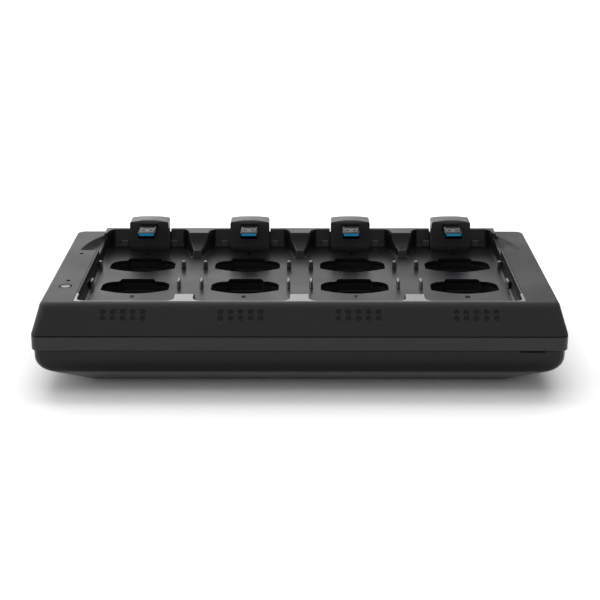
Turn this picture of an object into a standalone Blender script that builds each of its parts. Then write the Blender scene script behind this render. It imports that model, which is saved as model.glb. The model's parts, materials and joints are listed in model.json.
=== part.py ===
"""Eight-pocket charging dock for wireless microphone transmitters, as separate solids.

Metres, +Z up. The origin is at the bottom centre, +X runs to the right along the row of four
bays, and the front fascia faces -Y.
"""
import math

import bmesh
import bpy
from mathutils import Vector

MM = 0.001
GAP = 0.3 * MM                      # clearance between neighbouring solids

# Overall shape
FRONT = -92.0 * MM
REAR = 92.0 * MM
SEAM_HALF = 171.5 * MM              # half width at the seam under the top cover
TOP_HALF = 166.5 * MM               # half width at the top edge
TOP_FRONT = -79.8 * MM              # where the planes of the fascia and the top meet
ROLL_R = 8.0 * MM                   # round between the fascia and the top
COVER_TOP = 56.1 * MM
SEAM_Z = 38.2 * MM
BAND_Z = 28.0 * MM
WALL = 2.5 * MM

# Deck, sunk in the top cover
DECK_HALF = 145.7 * MM
DECK_FRONT = -74.3 * MM
DECK_REAR = 89.8 * MM
PLATE_TOP = 45.5 * MM
PLATE_UNDER = 43.0 * MM
RIM_TOP = 58.5 * MM
RIM_FRONT = 77.7 * MM
RIM_REAR = 91.4 * MM
RIM_HALF = 145.4 * MM
WING_HALF = 157.6 * MM              # the scooped wings let into the cover beside the alcoves
WING_FRONT = 41.0 * MM
WING_UNDER = 50.5 * MM
SCOOP_LOW = 51.8 * MM               # height of a scoop at its front edge

# Four bays, each with a front and a rear pocket
BAY_X = [(i - 1.5) * 75.2 * MM for i in range(4)]
HEAD_X = [(i - 1.5) * 74.4 * MM for i in range(4)]
NOTCH_HALF = 31.0 * MM
NOTCH_FRONT = -72.9 * MM
LEDGE_REAR = -58.9 * MM
ALCOVE_REAR = 87.6 * MM
ALCOVE_BACK_HALF = 30.1 * MM
ALCOVE_FRONT_HALF = 35.0 * MM
PLATE_HALF = 144.6 * MM             # inner face of the deck's thin side walls
NOSE_Y = 58.0 * MM
POCKET_Y = [-10.0 * MM, 39.4 * MM]
POCKET_HALF = 23.2 * MM
POCKET_FLOOR = 14.0 * MM

# Docking heads
HEAD_HALF = 14.4 * MM
HEAD_FRONT = 76.0 * MM
HEAD_REAR = 87.8 * MM
HEAD_BACK = 90.0 * MM               # the crown reaches further back than the stem
HEAD_TOP = 68.6 * MM
PIVOT_Y = 81.8 * MM
PIVOT_Z = 40.4 * MM
PIN_R = 1.1 * MM
PLUG_Z = 63.0 * MM
PLUG_TIP = 53.5 * MM
PLUG_HALF_W = 6.0 * MM
PLUG_HALF_H = 2.25 * MM

# Fascia lights: two rows of five per bay
LIGHT_PITCH = 6.4 * MM
LIGHT_CENTRE = 14.3 * MM            # up the slope from the seam
LIGHT_ROWS = [-2.1 * MM, 2.1 * MM]
LIGHT_R = 1.4 * MM

BUTTON = Vector((-155.4 * MM, -43.0 * MM, COVER_TOP))
BUTTON_R = 3.6 * MM
STATUS_LIGHTS = {"status_light_front": (-155.4 * MM, -31.2 * MM),
                 "status_light_rear": (-155.7 * MM, 32.2 * MM)}

# Rear sockets
DC_X = -120.0 * MM
NET_X = -85.0 * MM
RESET_X = -62.0 * MM
SOCKET_Z = 19.5 * MM
REAR_SKIN = 82.0 * MM               # outer face of the socket panel in the base

FOOT_XY = [(x * MM, y * MM) for x in (-124.0, 124.0) for y in (-56.0, 56.0)]
SCREW_XY = [(x * MM, y * MM) for x in (-100.0, 0.0, 100.0) for y in (-52.0, 66.0)]


def clear_scene():
    for obj in list(bpy.data.objects):
        bpy.data.objects.remove(obj, do_unlink=True)


def plastic(name, color, roughness=0.5, metallic=0.0):
    material = bpy.data.materials.new(name)
    material.use_nodes = True
    shader = material.node_tree.nodes["Principled BSDF"]
    shader.inputs["Base Color"].default_value = (*color, 1.0)
    shader.inputs["Roughness"].default_value = roughness
    shader.inputs["Metallic"].default_value = metallic
    return material


# ---------------------------------------------------------------- outlines and solids

def arc(cx, cy, radius, start, end, steps):
    """Points on a circle, from one angle in degrees to another."""
    angles = [math.radians(start + (end - start) * i / steps) for i in range(steps + 1)]
    return [(cx + radius * math.cos(a), cy + radius * math.sin(a)) for a in angles]


def rounded(x0, x1, y0, y1, radius, steps=4):
    """A rectangle with round corners, anticlockwise."""
    r = radius
    return (arc(x1 - r, y0 + r, r, -90, 0, steps) + arc(x1 - r, y1 - r, r, 0, 90, steps)
            + arc(x0 + r, y1 - r, r, 90, 180, steps) + arc(x0 + r, y0 + r, r, 180, 270, steps))


def rectangle(x0, x1, y0, y1):
    return [(x0, y0), (x1, y0), (x1, y1), (x0, y1)]


def circle(cx, cy, radius, steps=12):
    return arc(cx, cy, radius, 0, 360, steps)[:-1]


def fillet(before, corner, after, radius, steps):
    """Points of the arc that rounds one corner of a two-dimensional profile."""
    corner = Vector(corner)
    a = (Vector(before) - corner).normalized()
    b = (Vector(after) - corner).normalized()
    half = a.angle(b) / 2
    centre = corner + (a + b).normalized() * (radius / math.sin(half))
    start = corner + a * (radius / math.tan(half)) - centre
    sweep = math.pi - 2 * half
    if a.x * b.y - a.y * b.x > 0:
        sweep = -sweep
    points = []
    for i in range(steps + 1):
        angle = sweep * i / steps
        points.append((centre.x + start.x * math.cos(angle) - start.y * math.sin(angle),
                       centre.y + start.x * math.sin(angle) + start.y * math.cos(angle)))
    return points


def add_stack(bm, rings, closed=False):
    """Skin a list of point rings; closed joins the last ring to the first instead of capping."""
    rows = [[bm.verts.new(p) for p in ring] for ring in rings]
    count = len(rows[0])
    pairs = list(zip(rows, rows[1:]))
    if closed:
        pairs.append((rows[-1], rows[0]))
    for low, high in pairs:
        for i in range(count):
            j = (i + 1) % count
            bm.faces.new((low[i], low[j], high[j], high[i]))
    if not closed:
        bm.faces.new(rows[0][::-1])
        bm.faces.new(rows[-1])


def add_prism(bm, outline, z0, z1):
    add_stack(bm, [[(x, y, z) for x, y in outline] for z in (z0, z1)])


def add_rod(bm, start, end, radius, steps=12):
    """A cylinder between two points."""
    axis = Vector(end) - Vector(start)
    turn = axis.to_track_quat("Z", "Y").to_matrix().to_4x4()
    ring = [turn @ Vector((x, y, 0)) for x, y in circle(0, 0, radius, steps)]
    add_stack(bm, [[p + Vector(at) for p in ring] for at in (start, end)])


def add_side_prism(bm, outline, x0, x1):
    """A prism along X from a (y, z) outline."""
    add_stack(bm, [[(x, y, z) for y, z in outline] for x in (x0, x1)])


def make(name, bm, material):
    """Turn a bmesh into a named object with outward normals."""
    bmesh.ops.recalc_face_normals(bm, faces=bm.faces)
    mesh = bpy.data.meshes.new(name)
    bm.to_mesh(mesh)
    bm.free()
    if material:
        mesh.materials.append(material)
    obj = bpy.data.objects.new(name, mesh)
    bpy.context.scene.collection.objects.link(obj)
    return obj


def combine(obj, bm, operation="DIFFERENCE"):
    """Apply one exact Boolean with the solids in bm, and leave no cutter behind."""
    tool = make(obj.name + "_tool", bm, None)
    step = obj.modifiers.new("shape", "BOOLEAN")
    step.operation = operation
    step.solver = "EXACT"
    step.use_self = True
    step.object = tool
    graph = bpy.context.evaluated_depsgraph_get()
    graph.update()
    mesh = bpy.data.meshes.new_from_object(obj.evaluated_get(graph))
    obj.modifiers.clear()
    obj.data = mesh
    bpy.data.objects.remove(tool, do_unlink=True)
    return obj


def shade(obj, degrees=35.0):
    obj.data.shade_smooth()
    obj.data.set_sharp_from_angle(angle=math.radians(degrees))


# ---------------------------------------------------------------- housing

def housing_ring(half, front, rear, z_front, z_side, radius=5.0 * MM):
    """One level of the housing: the front and the sides may stand at different heights."""
    points = []
    for x, y in rounded(-half, half, front, rear, radius):
        near_front = max(0.0, min(1.0, (front + radius - y) / radius))
        points.append((x, y, z_side + (z_front - z_side) * near_front))
    return points


def fascia_point(along, depth=0.0):
    """(y, z) on the fascia: along runs up the slope from the lights, depth goes inwards."""
    low = Vector((FRONT, SEAM_Z))
    high = Vector((TOP_FRONT, COVER_TOP))
    run = (high - low).normalized()
    inward = Vector((run.y, -run.x))
    spot = low + run * (LIGHT_CENTRE + along) + inward * depth
    return spot.x, spot.y


def light_points():
    """(x, along) of every fascia light, bay by bay."""
    return [[(x + (i - 2) * LIGHT_PITCH, row) for row in LIGHT_ROWS for i in range(5)]
            for x in BAY_X]


def build_top_cover(material):
    opening = 0.3 * MM
    inner_half, inner_front, inner_rear = (DECK_HALF + opening, DECK_FRONT - opening,
                                           DECK_REAR + opening)
    slope_in = 3.3 * MM
    flat = (0.0, COVER_TOP)
    front = fillet((FRONT, SEAM_Z), (TOP_FRONT, COVER_TOP), flat, ROLL_R, 4)
    side = fillet((-SEAM_HALF, SEAM_Z), (-TOP_HALF, COVER_TOP), flat, 1.6 * MM, 4)
    back = fillet((-REAR, SEAM_Z), (0.6 * MM - REAR, COVER_TOP), flat, 1.0 * MM, 4)
    rings = [housing_ring(SEAM_HALF, FRONT, REAR, SEAM_Z, SEAM_Z)]
    rings += [housing_ring(-sx, fy, -by, fz, sz)
              for (fy, fz), (sx, sz), (by, _) in zip(front, side, back)]
    rings += [
        housing_ring(inner_half, inner_front, inner_rear, COVER_TOP, COVER_TOP, 1.5 * MM),
        housing_ring(inner_half, inner_front, inner_rear, COVER_TOP - WALL * 1.4,
                     COVER_TOP - WALL, 1.5 * MM),
        housing_ring(TOP_HALF - WALL, TOP_FRONT + 0.8 * MM, inner_rear + 0.2 * MM,
                     COVER_TOP - WALL * 1.5, COVER_TOP - WALL, 1.5 * MM),
        housing_ring(SEAM_HALF - WALL, FRONT + slope_in, REAR - 1.6 * MM, SEAM_Z, SEAM_Z,
                     3.0 * MM),
    ]
    bm = bmesh.new()
    add_stack(bm, rings, closed=True)
    cover = make("top_cover", bm, material)
    wings = bmesh.new()
    for side in (-1, 1):
        add_prism(wings, wing_outline(side, GAP), WING_UNDER - 1 * MM, COVER_TOP + 5 * MM)
    combine(cover, wings)
    tool = bmesh.new()
    for bay in light_points():
        for x, along in bay:
            y0, z0 = fascia_point(along, -3.0 * MM)
            y1, z1 = fascia_point(along, 5.0 * MM)
            add_rod(tool, (x, y0, z0), (x, y1, z1), LIGHT_R + GAP, 8)
    add_prism(tool, circle(BUTTON.x, BUTTON.y, BUTTON_R + 0.5 * MM, 20),
              COVER_TOP - 6 * MM, COVER_TOP + 2 * MM)
    for x, y in STATUS_LIGHTS.values():
        add_prism(tool, circle(x, y, 1.3 * MM + GAP), COVER_TOP - 6 * MM, COVER_TOP + 2 * MM)
    combine(cover, tool)
    shade(cover)


def build_mid_band(material):
    """The straight band under the cover, a ring with flat joints."""
    top = SEAM_Z - GAP
    low = BAND_Z + GAP
    lip = 0.6 * MM
    rings = [
        housing_ring(SEAM_HALF, FRONT, REAR, low, low),
        housing_ring(SEAM_HALF, FRONT, REAR, top - lip, top - lip),
        housing_ring(SEAM_HALF - lip, FRONT + lip, REAR - lip, top, top),
        housing_ring(SEAM_HALF - WALL, FRONT + WALL, REAR - WALL, top, top, 3.0 * MM),
        housing_ring(SEAM_HALF - WALL, FRONT + WALL, REAR - WALL, low, low, 3.0 * MM),
    ]
    bm = bmesh.new()
    add_stack(bm, rings, closed=True)
    shade(make("mid_band", bm, material))


def build_base_tray(material):
    """Lower shell: short wall, round turn-under and a long undercut down to the flat base."""
    # Profiles are (inset from the seam outline, z)
    profile = ([(31.5 * MM, 1.0 * MM)]
               + fillet((31.5 * MM, 1.0 * MM), (1.2 * MM, 15.5 * MM), (1.2 * MM, BAND_Z),
                        13.0 * MM, 7) + [(1.2 * MM, BAND_Z)])
    outer = [housing_ring(SEAM_HALF - d, FRONT + d * 0.7, REAR - d * 0.5, z, z, 6 * MM)
             for d, z in profile]
    inner_profile = [(3.9 * MM, BAND_Z), (4.2 * MM, 21.5 * MM), (11.0 * MM, 14.8 * MM),
                     (32.5 * MM, 4.0 * MM)]
    inner = [housing_ring(SEAM_HALF - d, FRONT + 2.7 * MM + d * 0.66,
                          REAR - 2.5 * MM - d * 0.5, z, z, 4 * MM) for d, z in inner_profile]
    bm = bmesh.new()
    add_stack(bm, outer + inner)
    tray = make("base_tray", bm, material)
    panel = bmesh.new()
    add_prism(panel, rounded(DC_X - 12 * MM, RESET_X + 10 * MM, 68 * MM, REAR_SKIN, 1.5 * MM),
              9.0 * MM, 27.5 * MM)
    for x, y in SCREW_XY:
        add_prism(panel, circle(x, y, 4.2 * MM, 16), 2.0 * MM, 6.4 * MM)
    combine(tray, panel, "UNION")
    tool = bmesh.new()
    add_prism(tool, rectangle(DC_X - 14 * MM, RESET_X + 12 * MM, REAR_SKIN, REAR + 2 * MM),
              7.5 * MM, 30.0 * MM)
    add_prism(tool, rectangle(DC_X - 10 * MM, RESET_X + 8 * MM, 60 * MM, REAR_SKIN - 2.2 * MM),
              11.0 * MM, 30.0 * MM)
    add_rod(tool, (DC_X, 60 * MM, SOCKET_Z), (DC_X, 95 * MM, SOCKET_Z), 5.3 * MM, 20)
    add_side_prism(tool, rectangle(60 * MM, 95 * MM, SOCKET_Z - 7.1 * MM, SOCKET_Z + 7.1 * MM),
                   NET_X - 8.3 * MM, NET_X + 8.3 * MM)
    add_rod(tool, (RESET_X, 60 * MM, SOCKET_Z), (RESET_X, 95 * MM, SOCKET_Z), 1.7 * MM, 12)
    for x, y in SCREW_XY:
        add_prism(tool, circle(x, y, 3.1 * MM, 16), 0.0, 3.4 * MM)
        add_prism(tool, circle(x, y, 1.8 * MM), 3.0 * MM, 8.0 * MM)
    for x, y in FOOT_XY:
        add_prism(tool, circle(x, y, 7.3 * MM, 20), 0.0, 2.2 * MM)
    add_prism(tool, rectangle(141 * MM, 157 * MM, FRONT - 2 * MM, FRONT + 2.6 * MM),
              BAND_Z - 0.8 * MM, BAND_Z + 1 * MM)
    combine(tray, tool)
    shade(tray, 25)


# ---------------------------------------------------------------- deck

def pocket_outline(cx, cy, grow=0.0):
    """Bowed front edge, round back corners and a raised middle at the back."""
    half = POCKET_HALF + grow
    front = [(half * t, -9.0 * MM - grow - 7.8 * MM * (1 - t * t)) for t in
             (-1, -0.75, -0.5, -0.25, 0, 0.25, 0.5, 0.75, 1)]
    shoulder = arc(half - 9.6 * MM, 0.4 * MM + grow, 9.6 * MM, 0, 80, 5)
    back = [(12.6 * MM + grow, 10.2 * MM + grow), (11.4 * MM + grow, 15.2 * MM + grow),
            (10.2 * MM + grow, 16.0 * MM + grow)]
    right = shoulder + back
    left = [(-x, y) for x, y in right[::-1]]
    return [(cx + x, cy + y) for x, y in front + right + left]


def alcove_outline(cx):
    """Plan of one bay's rear alcove: straight back, walls flaring towards the front."""
    back, front = ALCOVE_BACK_HALF, ALCOVE_FRONT_HALF
    right = [(front, NOSE_Y), (front - 0.4 * MM, NOSE_Y + 4 * MM), (back + 2.3 * MM, 72 * MM),
             (back, 77.7 * MM), (back - 0.6 * MM, 82 * MM), (back - 1.8 * MM, 85.4 * MM),
             (back - 3.4 * MM, 87.1 * MM), (back - 5.2 * MM, ALCOVE_REAR)]
    left = [(-x, y) for x, y in right[::-1]]
    edge = PLATE_HALF - 0.2 * MM
    return [(max(-edge, min(edge, cx + x)), y) for x, y in right + left]


def notch_outline(cx):
    """Plan of the step that each bay cuts into the front ledge."""
    r = 5.0 * MM
    half, front, rear = NOTCH_HALF, NOTCH_FRONT, LEDGE_REAR + 2 * MM
    return ([(cx + half, rear), (cx - half, rear)]
            + arc(cx - half + r, front + r, r, 180, 270, 4)
            + arc(cx + half - r, front + r, r, 270, 360, 4))


def wing_outline(side, grow=0.0):
    """Plan of the scooped wing on one side of the deck, tapering in a curve to the back."""
    tip = [(WING_HALF, WING_FRONT - grow), (WING_HALF - 1.1 * MM, 50 * MM),
           (WING_HALF - 4.2 * MM, 62.6 * MM), (WING_HALF - 9.0 * MM, 74 * MM),
           (DECK_HALF - 0.6 * MM, 82 * MM)]
    inner = DECK_HALF - 0.8 * MM
    outline = [(inner, WING_FRONT - grow)] + [(x + grow, y) for x, y in tip] + [(inner, 82 * MM)]
    return [(side * x, y) for x, y in outline]


def build_bay_deck(material):
    bm = bmesh.new()
    add_prism(bm, rounded(-DECK_HALF, DECK_HALF, DECK_FRONT, DECK_REAR, 1.2 * MM, 2),
              PLATE_UNDER, COVER_TOP)
    deck = make("bay_deck", bm, material)
    rim = bmesh.new()
    add_prism(rim, rounded(-RIM_HALF, RIM_HALF, RIM_FRONT - 0.2 * MM, DECK_REAR - 0.4 * MM,
                           1 * MM, 2), COVER_TOP - 4 * MM, RIM_TOP - 0.4 * MM)
    add_prism(rim, rounded(-RIM_HALF, RIM_HALF, RIM_FRONT, RIM_REAR, 1 * MM, 2),
              COVER_TOP + GAP, RIM_TOP)
    for side in (-1, 1):
        add_prism(rim, wing_outline(side), WING_UNDER, COVER_TOP - 0.05 * MM)
    combine(deck, rim, "UNION")
    combine(deck, scoops())

    tool = bmesh.new()
    add_prism(tool, rectangle(-PLATE_HALF, PLATE_HALF, LEDGE_REAR, NOSE_Y + 2 * MM),
              PLATE_TOP, RIM_TOP + 5 * MM)
    combine(deck, tool)
    for x in BAY_X:
        tool = bmesh.new()
        add_prism(tool, notch_outline(x), PLATE_TOP, RIM_TOP + 5 * MM)
        combine(deck, tool)
        tool = bmesh.new()
        add_prism(tool, alcove_outline(x), PLATE_TOP, RIM_TOP + 5 * MM)
        combine(deck, tool)

    tool = bmesh.new()
    for x in BAY_X:
        for y in POCKET_Y:
            add_prism(tool, pocket_outline(x, y), PLATE_UNDER - 5 * MM, PLATE_TOP + 5 * MM)
    for x in HEAD_X:
        add_prism(tool, rectangle(x - HEAD_HALF - 0.5 * MM, x + HEAD_HALF + 0.5 * MM,
                                  HEAD_FRONT - 1.0 * MM, REAR + 4 * MM),
                  PLATE_UNDER - 5 * MM, RIM_TOP + 5 * MM)
    combine(deck, tool)
    combine(deck, rib_slopes())

    solids = bmesh.new()
    for x in BAY_X:
        for side in (-1, 1):
            add_post(solids, x + side * 29.8 * MM, -17.0 * MM, 9.5 * MM, 2.8 * MM)
            add_post(solids, x + side * 29.8 * MM, 30.0 * MM, 3.6 * MM, 3.6 * MM)
            bumper = x + side * 18.6 * MM
            add_prism(solids, rectangle(bumper - 2.5 * MM, bumper + 2.5 * MM,
                                        ALCOVE_REAR - 2.4 * MM, ALCOVE_REAR + 0.6 * MM),
                      PLATE_TOP - 0.5 * MM, PLATE_TOP + 4.9 * MM)
    for x in HEAD_X:
        for side in (-1, 1):
            ear = x + side * (HEAD_HALF + 2.2 * MM)
            add_side_prism(solids, ear_outline(), ear - 1.4 * MM, ear + 1.4 * MM)
    combine(deck, solids, "UNION")
    shade(deck)


def ear_outline():
    """(y, z) outline of a lug under the deck, with a slot that the pivot pin snaps up into."""
    top, low = PLATE_UNDER + 0.5 * MM, PIVOT_Z - 3.0 * MM
    slot = arc(PIVOT_Y, PIVOT_Z, PIN_R + GAP, 180, 0, 6)
    return ([(PIVOT_Y - 4 * MM, top), (PIVOT_Y - 4 * MM, low), (slot[0][0], low)] + slot
            + [(slot[-1][0], low), (PIVOT_Y + 4 * MM, low), (PIVOT_Y + 4 * MM, top)])


def scoops():
    """Wedges that hollow the wings, deepest at the front."""
    tool = bmesh.new()
    wedge = [(WING_FRONT - 2 * MM, SCOOP_LOW), (WING_FRONT + 20 * MM, SCOOP_LOW + 0.3 * MM),
             (77 * MM, COVER_TOP + 0.4 * MM), (77 * MM, COVER_TOP + 6 * MM),
             (WING_FRONT - 2 * MM, COVER_TOP + 6 * MM)]
    for side in (-1, 1):
        ends = sorted((side * (PLATE_HALF - 0.6 * MM), side * (WING_HALF + 2 * MM)))
        add_side_prism(tool, wedge, *ends)
    return tool


def rib_slopes():
    """Wedges that lay the tops of the ribs between alcoves back from their noses."""
    tool = bmesh.new()
    slope = [(NOSE_Y - 4 * MM, 49.8 * MM), (NOSE_Y + 2 * MM, 49.8 * MM), (68 * MM, 50.9 * MM),
             (74 * MM, 53.0 * MM), (RIM_FRONT, RIM_TOP), (RIM_FRONT, RIM_TOP + 6 * MM),
             (NOSE_Y - 4 * MM, RIM_TOP + 6 * MM)]
    for left, right in zip(BAY_X, BAY_X[1:]):
        middle = (left + right) / 2
        add_side_prism(tool, slope, middle - 9 * MM, middle + 9 * MM)
    return tool


def add_post(bm, x, y, depth, width):
    """An upright guide that locates a transmitter, with its narrow end to the front."""
    w = width / 2
    outline = [(x, y), (x + w, y + depth * 0.35), (x + w, y + depth), (x - w, y + depth),
               (x - w, y + depth * 0.35)]
    top = [(x + (px - x) * 0.8, py, PLATE_TOP + 5.2 * MM) for px, py in outline]
    low = [(px, py, PLATE_TOP - 0.8 * MM) for px, py in outline]
    add_stack(bm, [low, top])


def build_pocket(index, x, y, liner_material, block_material):
    """A cup that hangs under one pocket, and the sprung contact block on its floor."""
    top = PLATE_UNDER - GAP
    wall = 1.2 * MM
    levels = [(wall + 2.0 * MM, top), (wall + 2.0 * MM, top - 1.2 * MM),
              (wall, top - 1.2 * MM), (wall - 1.0 * MM, POCKET_FLOOR - wall)]
    inner = [(-1.0 * MM, POCKET_FLOOR), (0.0, top - 3.0 * MM), (0.0, top)]
    bm = bmesh.new()
    rings = [[(px, py, z) for px, py in pocket_outline(x, y, grow)]
             for grow, z in levels[::-1]]
    rings += [[(px, py, z) for px, py in pocket_outline(x, y, grow)]
              for grow, z in inner[::-1]]
    add_stack(bm, rings)
    liner = make(f"pocket_liner_{index}", bm, liner_material)
    hole = bmesh.new()
    add_prism(hole, rectangle(x - 9.4 * MM, x + 9.4 * MM, y - 4.4 * MM, y + 4.4 * MM),
              POCKET_FLOOR - 4 * MM, POCKET_FLOOR + 2 * MM)
    combine(liner, hole)
    shade(liner)

    bm = bmesh.new()
    add_prism(bm, rounded(x - 9.0 * MM, x + 9.0 * MM, y - 4.0 * MM, y + 4.0 * MM, 1 * MM, 2),
              POCKET_FLOOR - 1.2 * MM, POCKET_FLOOR + 2.2 * MM)
    block = make(f"contact_block_{index}", bm, block_material)
    pins = bmesh.new()
    for i in range(4):
        add_prism(pins, circle(x + (i - 1.5) * 4.2 * MM, y, 0.9 * MM, 8),
                  POCKET_FLOOR + 1.0 * MM, POCKET_FLOOR + 3.4 * MM)
    combine(block, pins, "UNION")
    shade(block)


# ---------------------------------------------------------------- docking heads

def head_side():
    """(y, z) outline of a docking head: round foot about the pivot, straight tower."""
    foot = arc(PIVOT_Y, PIVOT_Z, 3.6 * MM, 0, -180, 8)
    return foot + [(HEAD_FRONT + 1.2 * MM, PLATE_TOP + 2 * MM), (HEAD_FRONT, PLATE_TOP + 5 * MM),
                   (HEAD_FRONT, HEAD_TOP - 2.4 * MM), (HEAD_FRONT + 1.0 * MM, HEAD_TOP - 0.6 * MM),
                   (HEAD_FRONT + 2.6 * MM, HEAD_TOP), (HEAD_BACK - 2.0 * MM, HEAD_TOP),
                   (HEAD_BACK, HEAD_TOP - 2.0 * MM), (HEAD_BACK, RIM_TOP + 2.4 * MM),
                   (HEAD_REAR, RIM_TOP + 1.0 * MM), (HEAD_REAR, PLATE_TOP + 8 * MM)]


def head_front(cx):
    """(x, z) outline of the tower: crowned top with round corners."""
    crown = [(cx + HEAD_HALF * t, HEAD_TOP - 1.6 * MM * t * t) for t in (0.6, 0.3, 0, -0.3, -0.6)]
    right = arc(cx + HEAD_HALF - 2 * MM, HEAD_TOP - 3.1 * MM, 2 * MM, 0, 80, 4)
    left = [(2 * cx - x, z) for x, z in right[::-1]]
    low = PIVOT_Z - 6 * MM
    return [(cx - HEAD_HALF, low), (cx + HEAD_HALF, low)] + right + crown + left


def add_front_prism(bm, outline, y0, y1):
    """A prism along Y from an (x, z) outline."""
    add_stack(bm, [[(x, y, z) for x, z in outline] for y in (y0, y1)])


def build_head(index, cx, materials):
    bm = bmesh.new()
    add_side_prism(bm, head_side(), cx - HEAD_HALF, cx + HEAD_HALF)
    head = make(f"dock_head_{index}", bm, materials["head"])
    outline = bmesh.new()
    add_front_prism(outline, head_front(cx), HEAD_FRONT - 9 * MM, HEAD_REAR + 9 * MM)
    combine(head, outline, "INTERSECT")
    tool = bmesh.new()
    w, h = PLUG_HALF_W + GAP, PLUG_HALF_H + GAP
    add_front_prism(tool, rectangle(cx - w, cx + w, PLUG_Z - h, PLUG_Z + h),
                    HEAD_FRONT - 5 * MM, HEAD_FRONT + 6 * MM)
    add_rod(tool, (cx - 20 * MM, PIVOT_Y, PIVOT_Z), (cx + 20 * MM, PIVOT_Y, PIVOT_Z),
            PIN_R + GAP, 10)
    combine(head, tool)
    shade(head)

    bm = bmesh.new()
    reach = HEAD_HALF + 4.2 * MM
    add_rod(bm, (cx - reach, PIVOT_Y, PIVOT_Z), (cx + reach, PIVOT_Y, PIVOT_Z), PIN_R, 10)
    shade(make(f"head_pin_{index}", bm, materials["steel"]))
    build_plug(index, cx, materials)


def build_plug(index, cx, materials):
    """USB type-A plug: a folded metal shell and the blue tongue inside it."""
    bm = bmesh.new()
    rear = HEAD_FRONT + 5.4 * MM
    add_front_prism(bm, rectangle(cx - PLUG_HALF_W, cx + PLUG_HALF_W, PLUG_Z - PLUG_HALF_H,
                                  PLUG_Z + PLUG_HALF_H), PLUG_TIP, rear)
    shell = make(f"usb_shell_{index}", bm, materials["plug"])
    skin = 0.35 * MM
    tool = bmesh.new()
    add_front_prism(tool, rectangle(cx - PLUG_HALF_W + skin, cx + PLUG_HALF_W - skin,
                                    PLUG_Z - PLUG_HALF_H + skin, PLUG_Z + PLUG_HALF_H - skin),
                    PLUG_TIP - 2 * MM, rear - 1.0 * MM)
    for side in (-1, 1):
        hole = cx + side * 2.7 * MM
        add_prism(tool, rectangle(hole - 1.1 * MM, hole + 1.1 * MM, PLUG_TIP + 6 * MM,
                                  PLUG_TIP + 8.4 * MM), PLUG_Z, PLUG_Z + 4 * MM)
    combine(shell, tool)

    bm = bmesh.new()
    low, high = PLUG_Z - 0.1 * MM, PLUG_Z + PLUG_HALF_H - skin - GAP
    add_front_prism(bm, rectangle(cx - 5.3 * MM, cx + 5.3 * MM, low, high),
                    PLUG_TIP + 0.6 * MM, rear - 1.0 * MM - GAP)
    make(f"usb_tongue_{index}", bm, materials["blue"])


# ---------------------------------------------------------------- lights, button, electronics

def build_light_bar(index, bay, material):
    """Ten short light guides on one carrier strip behind the fascia."""
    bm = bmesh.new()
    xs = [x for x, _ in bay]
    corners = [fascia_point(a, d) for a, d in ((-4.4 * MM, 4.4 * MM), (4.4 * MM, 4.4 * MM),
                                               (4.4 * MM, 6.0 * MM), (-4.4 * MM, 6.0 * MM))]
    add_side_prism(bm, corners, min(xs) - 3 * MM, max(xs) + 3 * MM)
    bar = make(f"light_bar_{index}", bm, material)
    pins = bmesh.new()
    for x, along in bay:
        y0, z0 = fascia_point(along, 0.15 * MM)
        y1, z1 = fascia_point(along, 5.2 * MM)
        add_rod(pins, (x, y0, z0), (x, y1, z1), LIGHT_R, 8)
    combine(bar, pins, "UNION")
    shade(bar)


def build_button(materials):
    bm = bmesh.new()
    steps = [(BUTTON_R + 1.2 * MM, -6.0), (BUTTON_R + 1.2 * MM, -4.6), (BUTTON_R, -4.6),
             (BUTTON_R, -0.3), (BUTTON_R - 0.4 * MM, 0.1), (BUTTON_R * 0.5, 0.3)]
    add_stack(bm, [[(x, y, COVER_TOP + z * MM) for x, y in circle(BUTTON.x, BUTTON.y, r, 20)]
                   for r, z in steps])
    shade(make("link_button", bm, materials["button"]))
    for name, (x, y) in STATUS_LIGHTS.items():
        bm = bmesh.new()
        add_prism(bm, circle(x, y, 1.3 * MM, 12), COVER_TOP - 9.0 * MM, COVER_TOP - 0.2 * MM)
        shade(make(name, bm, materials["lens"]))
    bm = bmesh.new()
    add_prism(bm, rectangle(-162.5 * MM, -149.5 * MM, -52 * MM, 40 * MM),
              COVER_TOP - 11.2 * MM, COVER_TOP - 9.6 * MM)
    board = make("button_board", bm, materials["board"])
    switch = bmesh.new()
    add_prism(switch, rectangle(BUTTON.x - 3 * MM, BUTTON.x + 3 * MM, BUTTON.y - 3 * MM,
                                BUTTON.y + 3 * MM), COVER_TOP - 10 * MM, COVER_TOP - 7.4 * MM)
    combine(board, switch, "UNION")


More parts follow.
